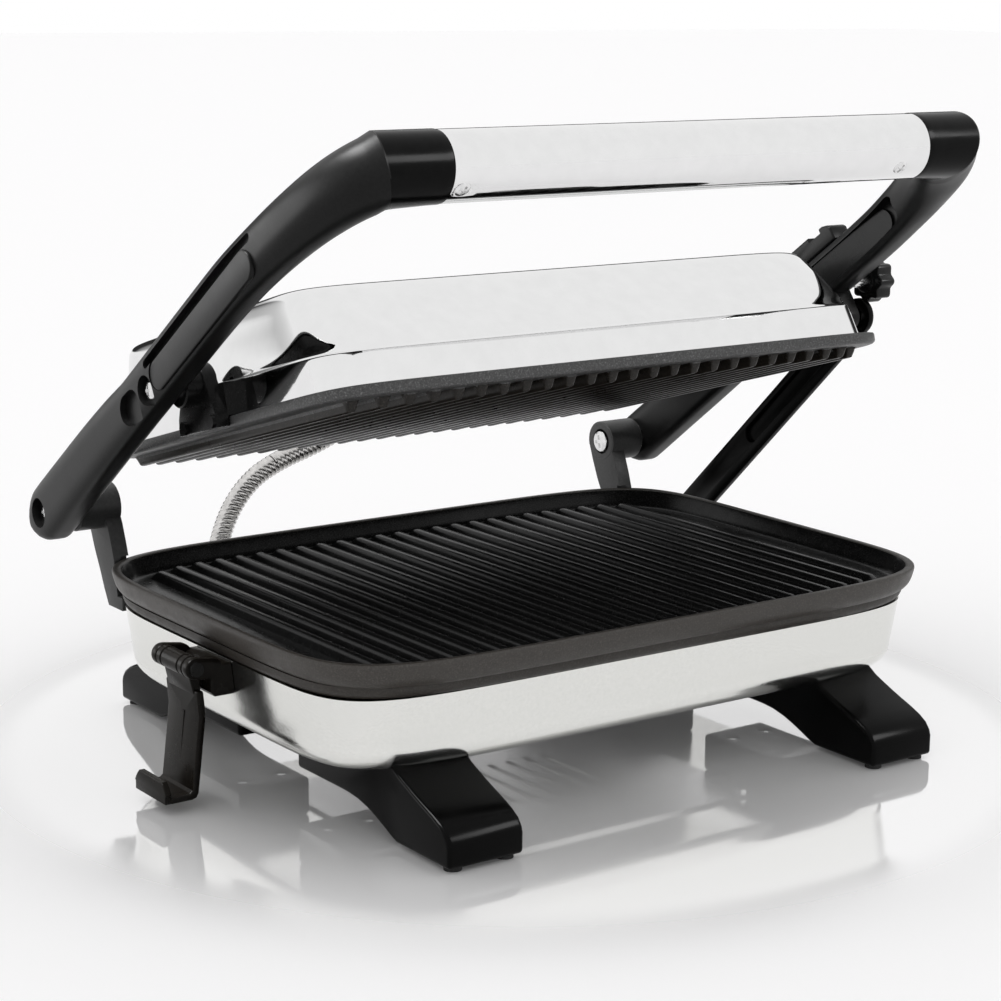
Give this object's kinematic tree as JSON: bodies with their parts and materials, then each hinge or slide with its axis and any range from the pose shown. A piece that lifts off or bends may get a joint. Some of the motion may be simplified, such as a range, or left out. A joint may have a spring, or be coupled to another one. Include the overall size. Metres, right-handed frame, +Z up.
{
  "type": "panini_press",
  "caption": "Contact grill with ribbed upper and lower plates, polished lid on a pivoting arm frame, chrome handle tube, plastic feet, side latch, stay and lock knob",
  "frame": {"origin": "on the table, below the middle of the press's plan outline", "axes": "+X towards the press's right side, +Y towards its back and hinge, +Z up"},
  "size_m": [0.3742, 0.2784, 0.277],
  "materials": {
    "silver_paint": "light silver-white satin paint, fine even grain",
    "steel_sheet": "plain pressed steel sheet",
    "steel_screws": "small bright screws",
    "grill_cast": "dark nonstick coating with a fine speckle",
    "bezel_cast": "dark nonstick coating, slightly lighter",
    "upper_cast": "dark nonstick coating with a fine speckle",
    "element_steel": "heat-tinted steel tube",
    "foot_plastic": "glossy black plastic",
    "black_plastic": "black plastic, soft gloss",
    "arm_plastic": "black plastic, satin on the broad faces",
    "knob_plastic": "glossy black plastic",
    "stay_plastic": "black plastic strip, soft gloss",
    "latch_plastic": "black plastic, soft gloss",
    "pad_rubber": "black rubber",
    "chrome_fastener": "bright chrome",
    "conduit_steel": "spiral-wound bright steel",
    "polished_chrome": "mirror-like chrome",
    "polished_lid": "polished stainless steel with faint fine scratches"
  },
  "bodies": {
    "base": {"base_housing": "silver_paint", "bottom_cover": "steel_sheet", "bottom_cover_screws": "steel_screws", "lower_grill_plate": "grill_cast", "lower_plate_bezel": "bezel_cast", "lower_heating_element": "element_steel", "lower_heat_shield": "steel_sheet", "thermostat": "steel_sheet", "front_foot_left": "foot_plastic", "front_foot_right": "foot_plastic", "rear_foot_left": "foot_plastic", "rear_foot_right": "foot_plastic", "foot_pads": "pad_rubber", "foot_screws": "steel_screws", "hinge_post_left": "black_plastic", "hinge_post_right": "black_plastic", "latch_bracket": "black_plastic", "latch_pin": "chrome_fastener", "stay_bracket": "black_plastic", "stay_pivot_pin": "chrome_fastener", "cord_inlet": "black_plastic", "lower_conduit_gland": "conduit_steel", "lower_conduit": "conduit_steel"},
    "handle": {"arm_left": "arm_plastic", "arm_right": "arm_plastic", "arm_cover_left": "black_plastic", "arm_cover_right": "black_plastic", "arm_trim_left": "arm_plastic", "handle_tube": "polished_chrome", "handle_screws": "steel_screws", "hinge_bolts": "chrome_fastener", "hinge_washers": "chrome_fastener", "lid_pivot_bolts": "chrome_fastener", "stay_stud": "chrome_fastener", "knob_stud": "steel_screws", "arm_stop_block": "black_plastic"},
    "lid": {"lid_shell": "polished_lid", "upper_grill_plate": "upper_cast", "upper_heating_element": "element_steel", "upper_heat_shield": "steel_sheet", "lid_bracket_left": "black_plastic", "lid_bracket_right": "black_plastic", "lid_bracket_screws": "chrome_fastener", "upper_conduit_gland": "conduit_steel", "upper_conduit": "conduit_steel"},
    "knob": {"lock_knob": "knob_plastic"},
    "stay": {"lid_stay": "stay_plastic"},
    "latch": {"latch_strap": "latch_plastic"}
  },
  "joints": [
    {"name": "handle_hinge", "type": "hinge", "parent": "base", "child": "handle", "pos_m": [0, 0.1143, 0.0986], "axis": [1, 0, 0], "range_deg": [0, 34.45], "deforming": ["lower_conduit"]},
    {"name": "lid_tilt", "type": "hinge", "parent": "handle", "child": "lid", "pos_m": [0, 0.01195, 0.16746], "axis": [1, 0, 0], "range_deg": [-18.35, 0], "deforming": ["upper_conduit"]},
    {"name": "stay_pivot", "type": "hinge", "parent": "base", "child": "stay", "pos_m": [0.1765, 0.0975, 0.054], "axis": [1, 0, 0], "range_deg": [0, 33.3]},
    {"name": "knob_turn", "type": "hinge", "parent": "handle", "child": "knob", "pos_m": [0.185, -0.03, 0.19391], "axis": [1, 0, 0], "range_deg": [0, 90]},
    {"name": "latch_swing", "type": "hinge", "parent": "base", "child": "latch", "pos_m": [-0.171, -0.008, 0.06], "axis": [0, 1, 0], "range_deg": [0, 170]}
  ],
  "couplings": [
    {"joint": "lid_tilt", "follows": "handle_hinge", "ratio": -0.53266},
    {"joint": "stay_pivot", "follows": "handle_hinge", "ratio": 0.96669}
  ]
}
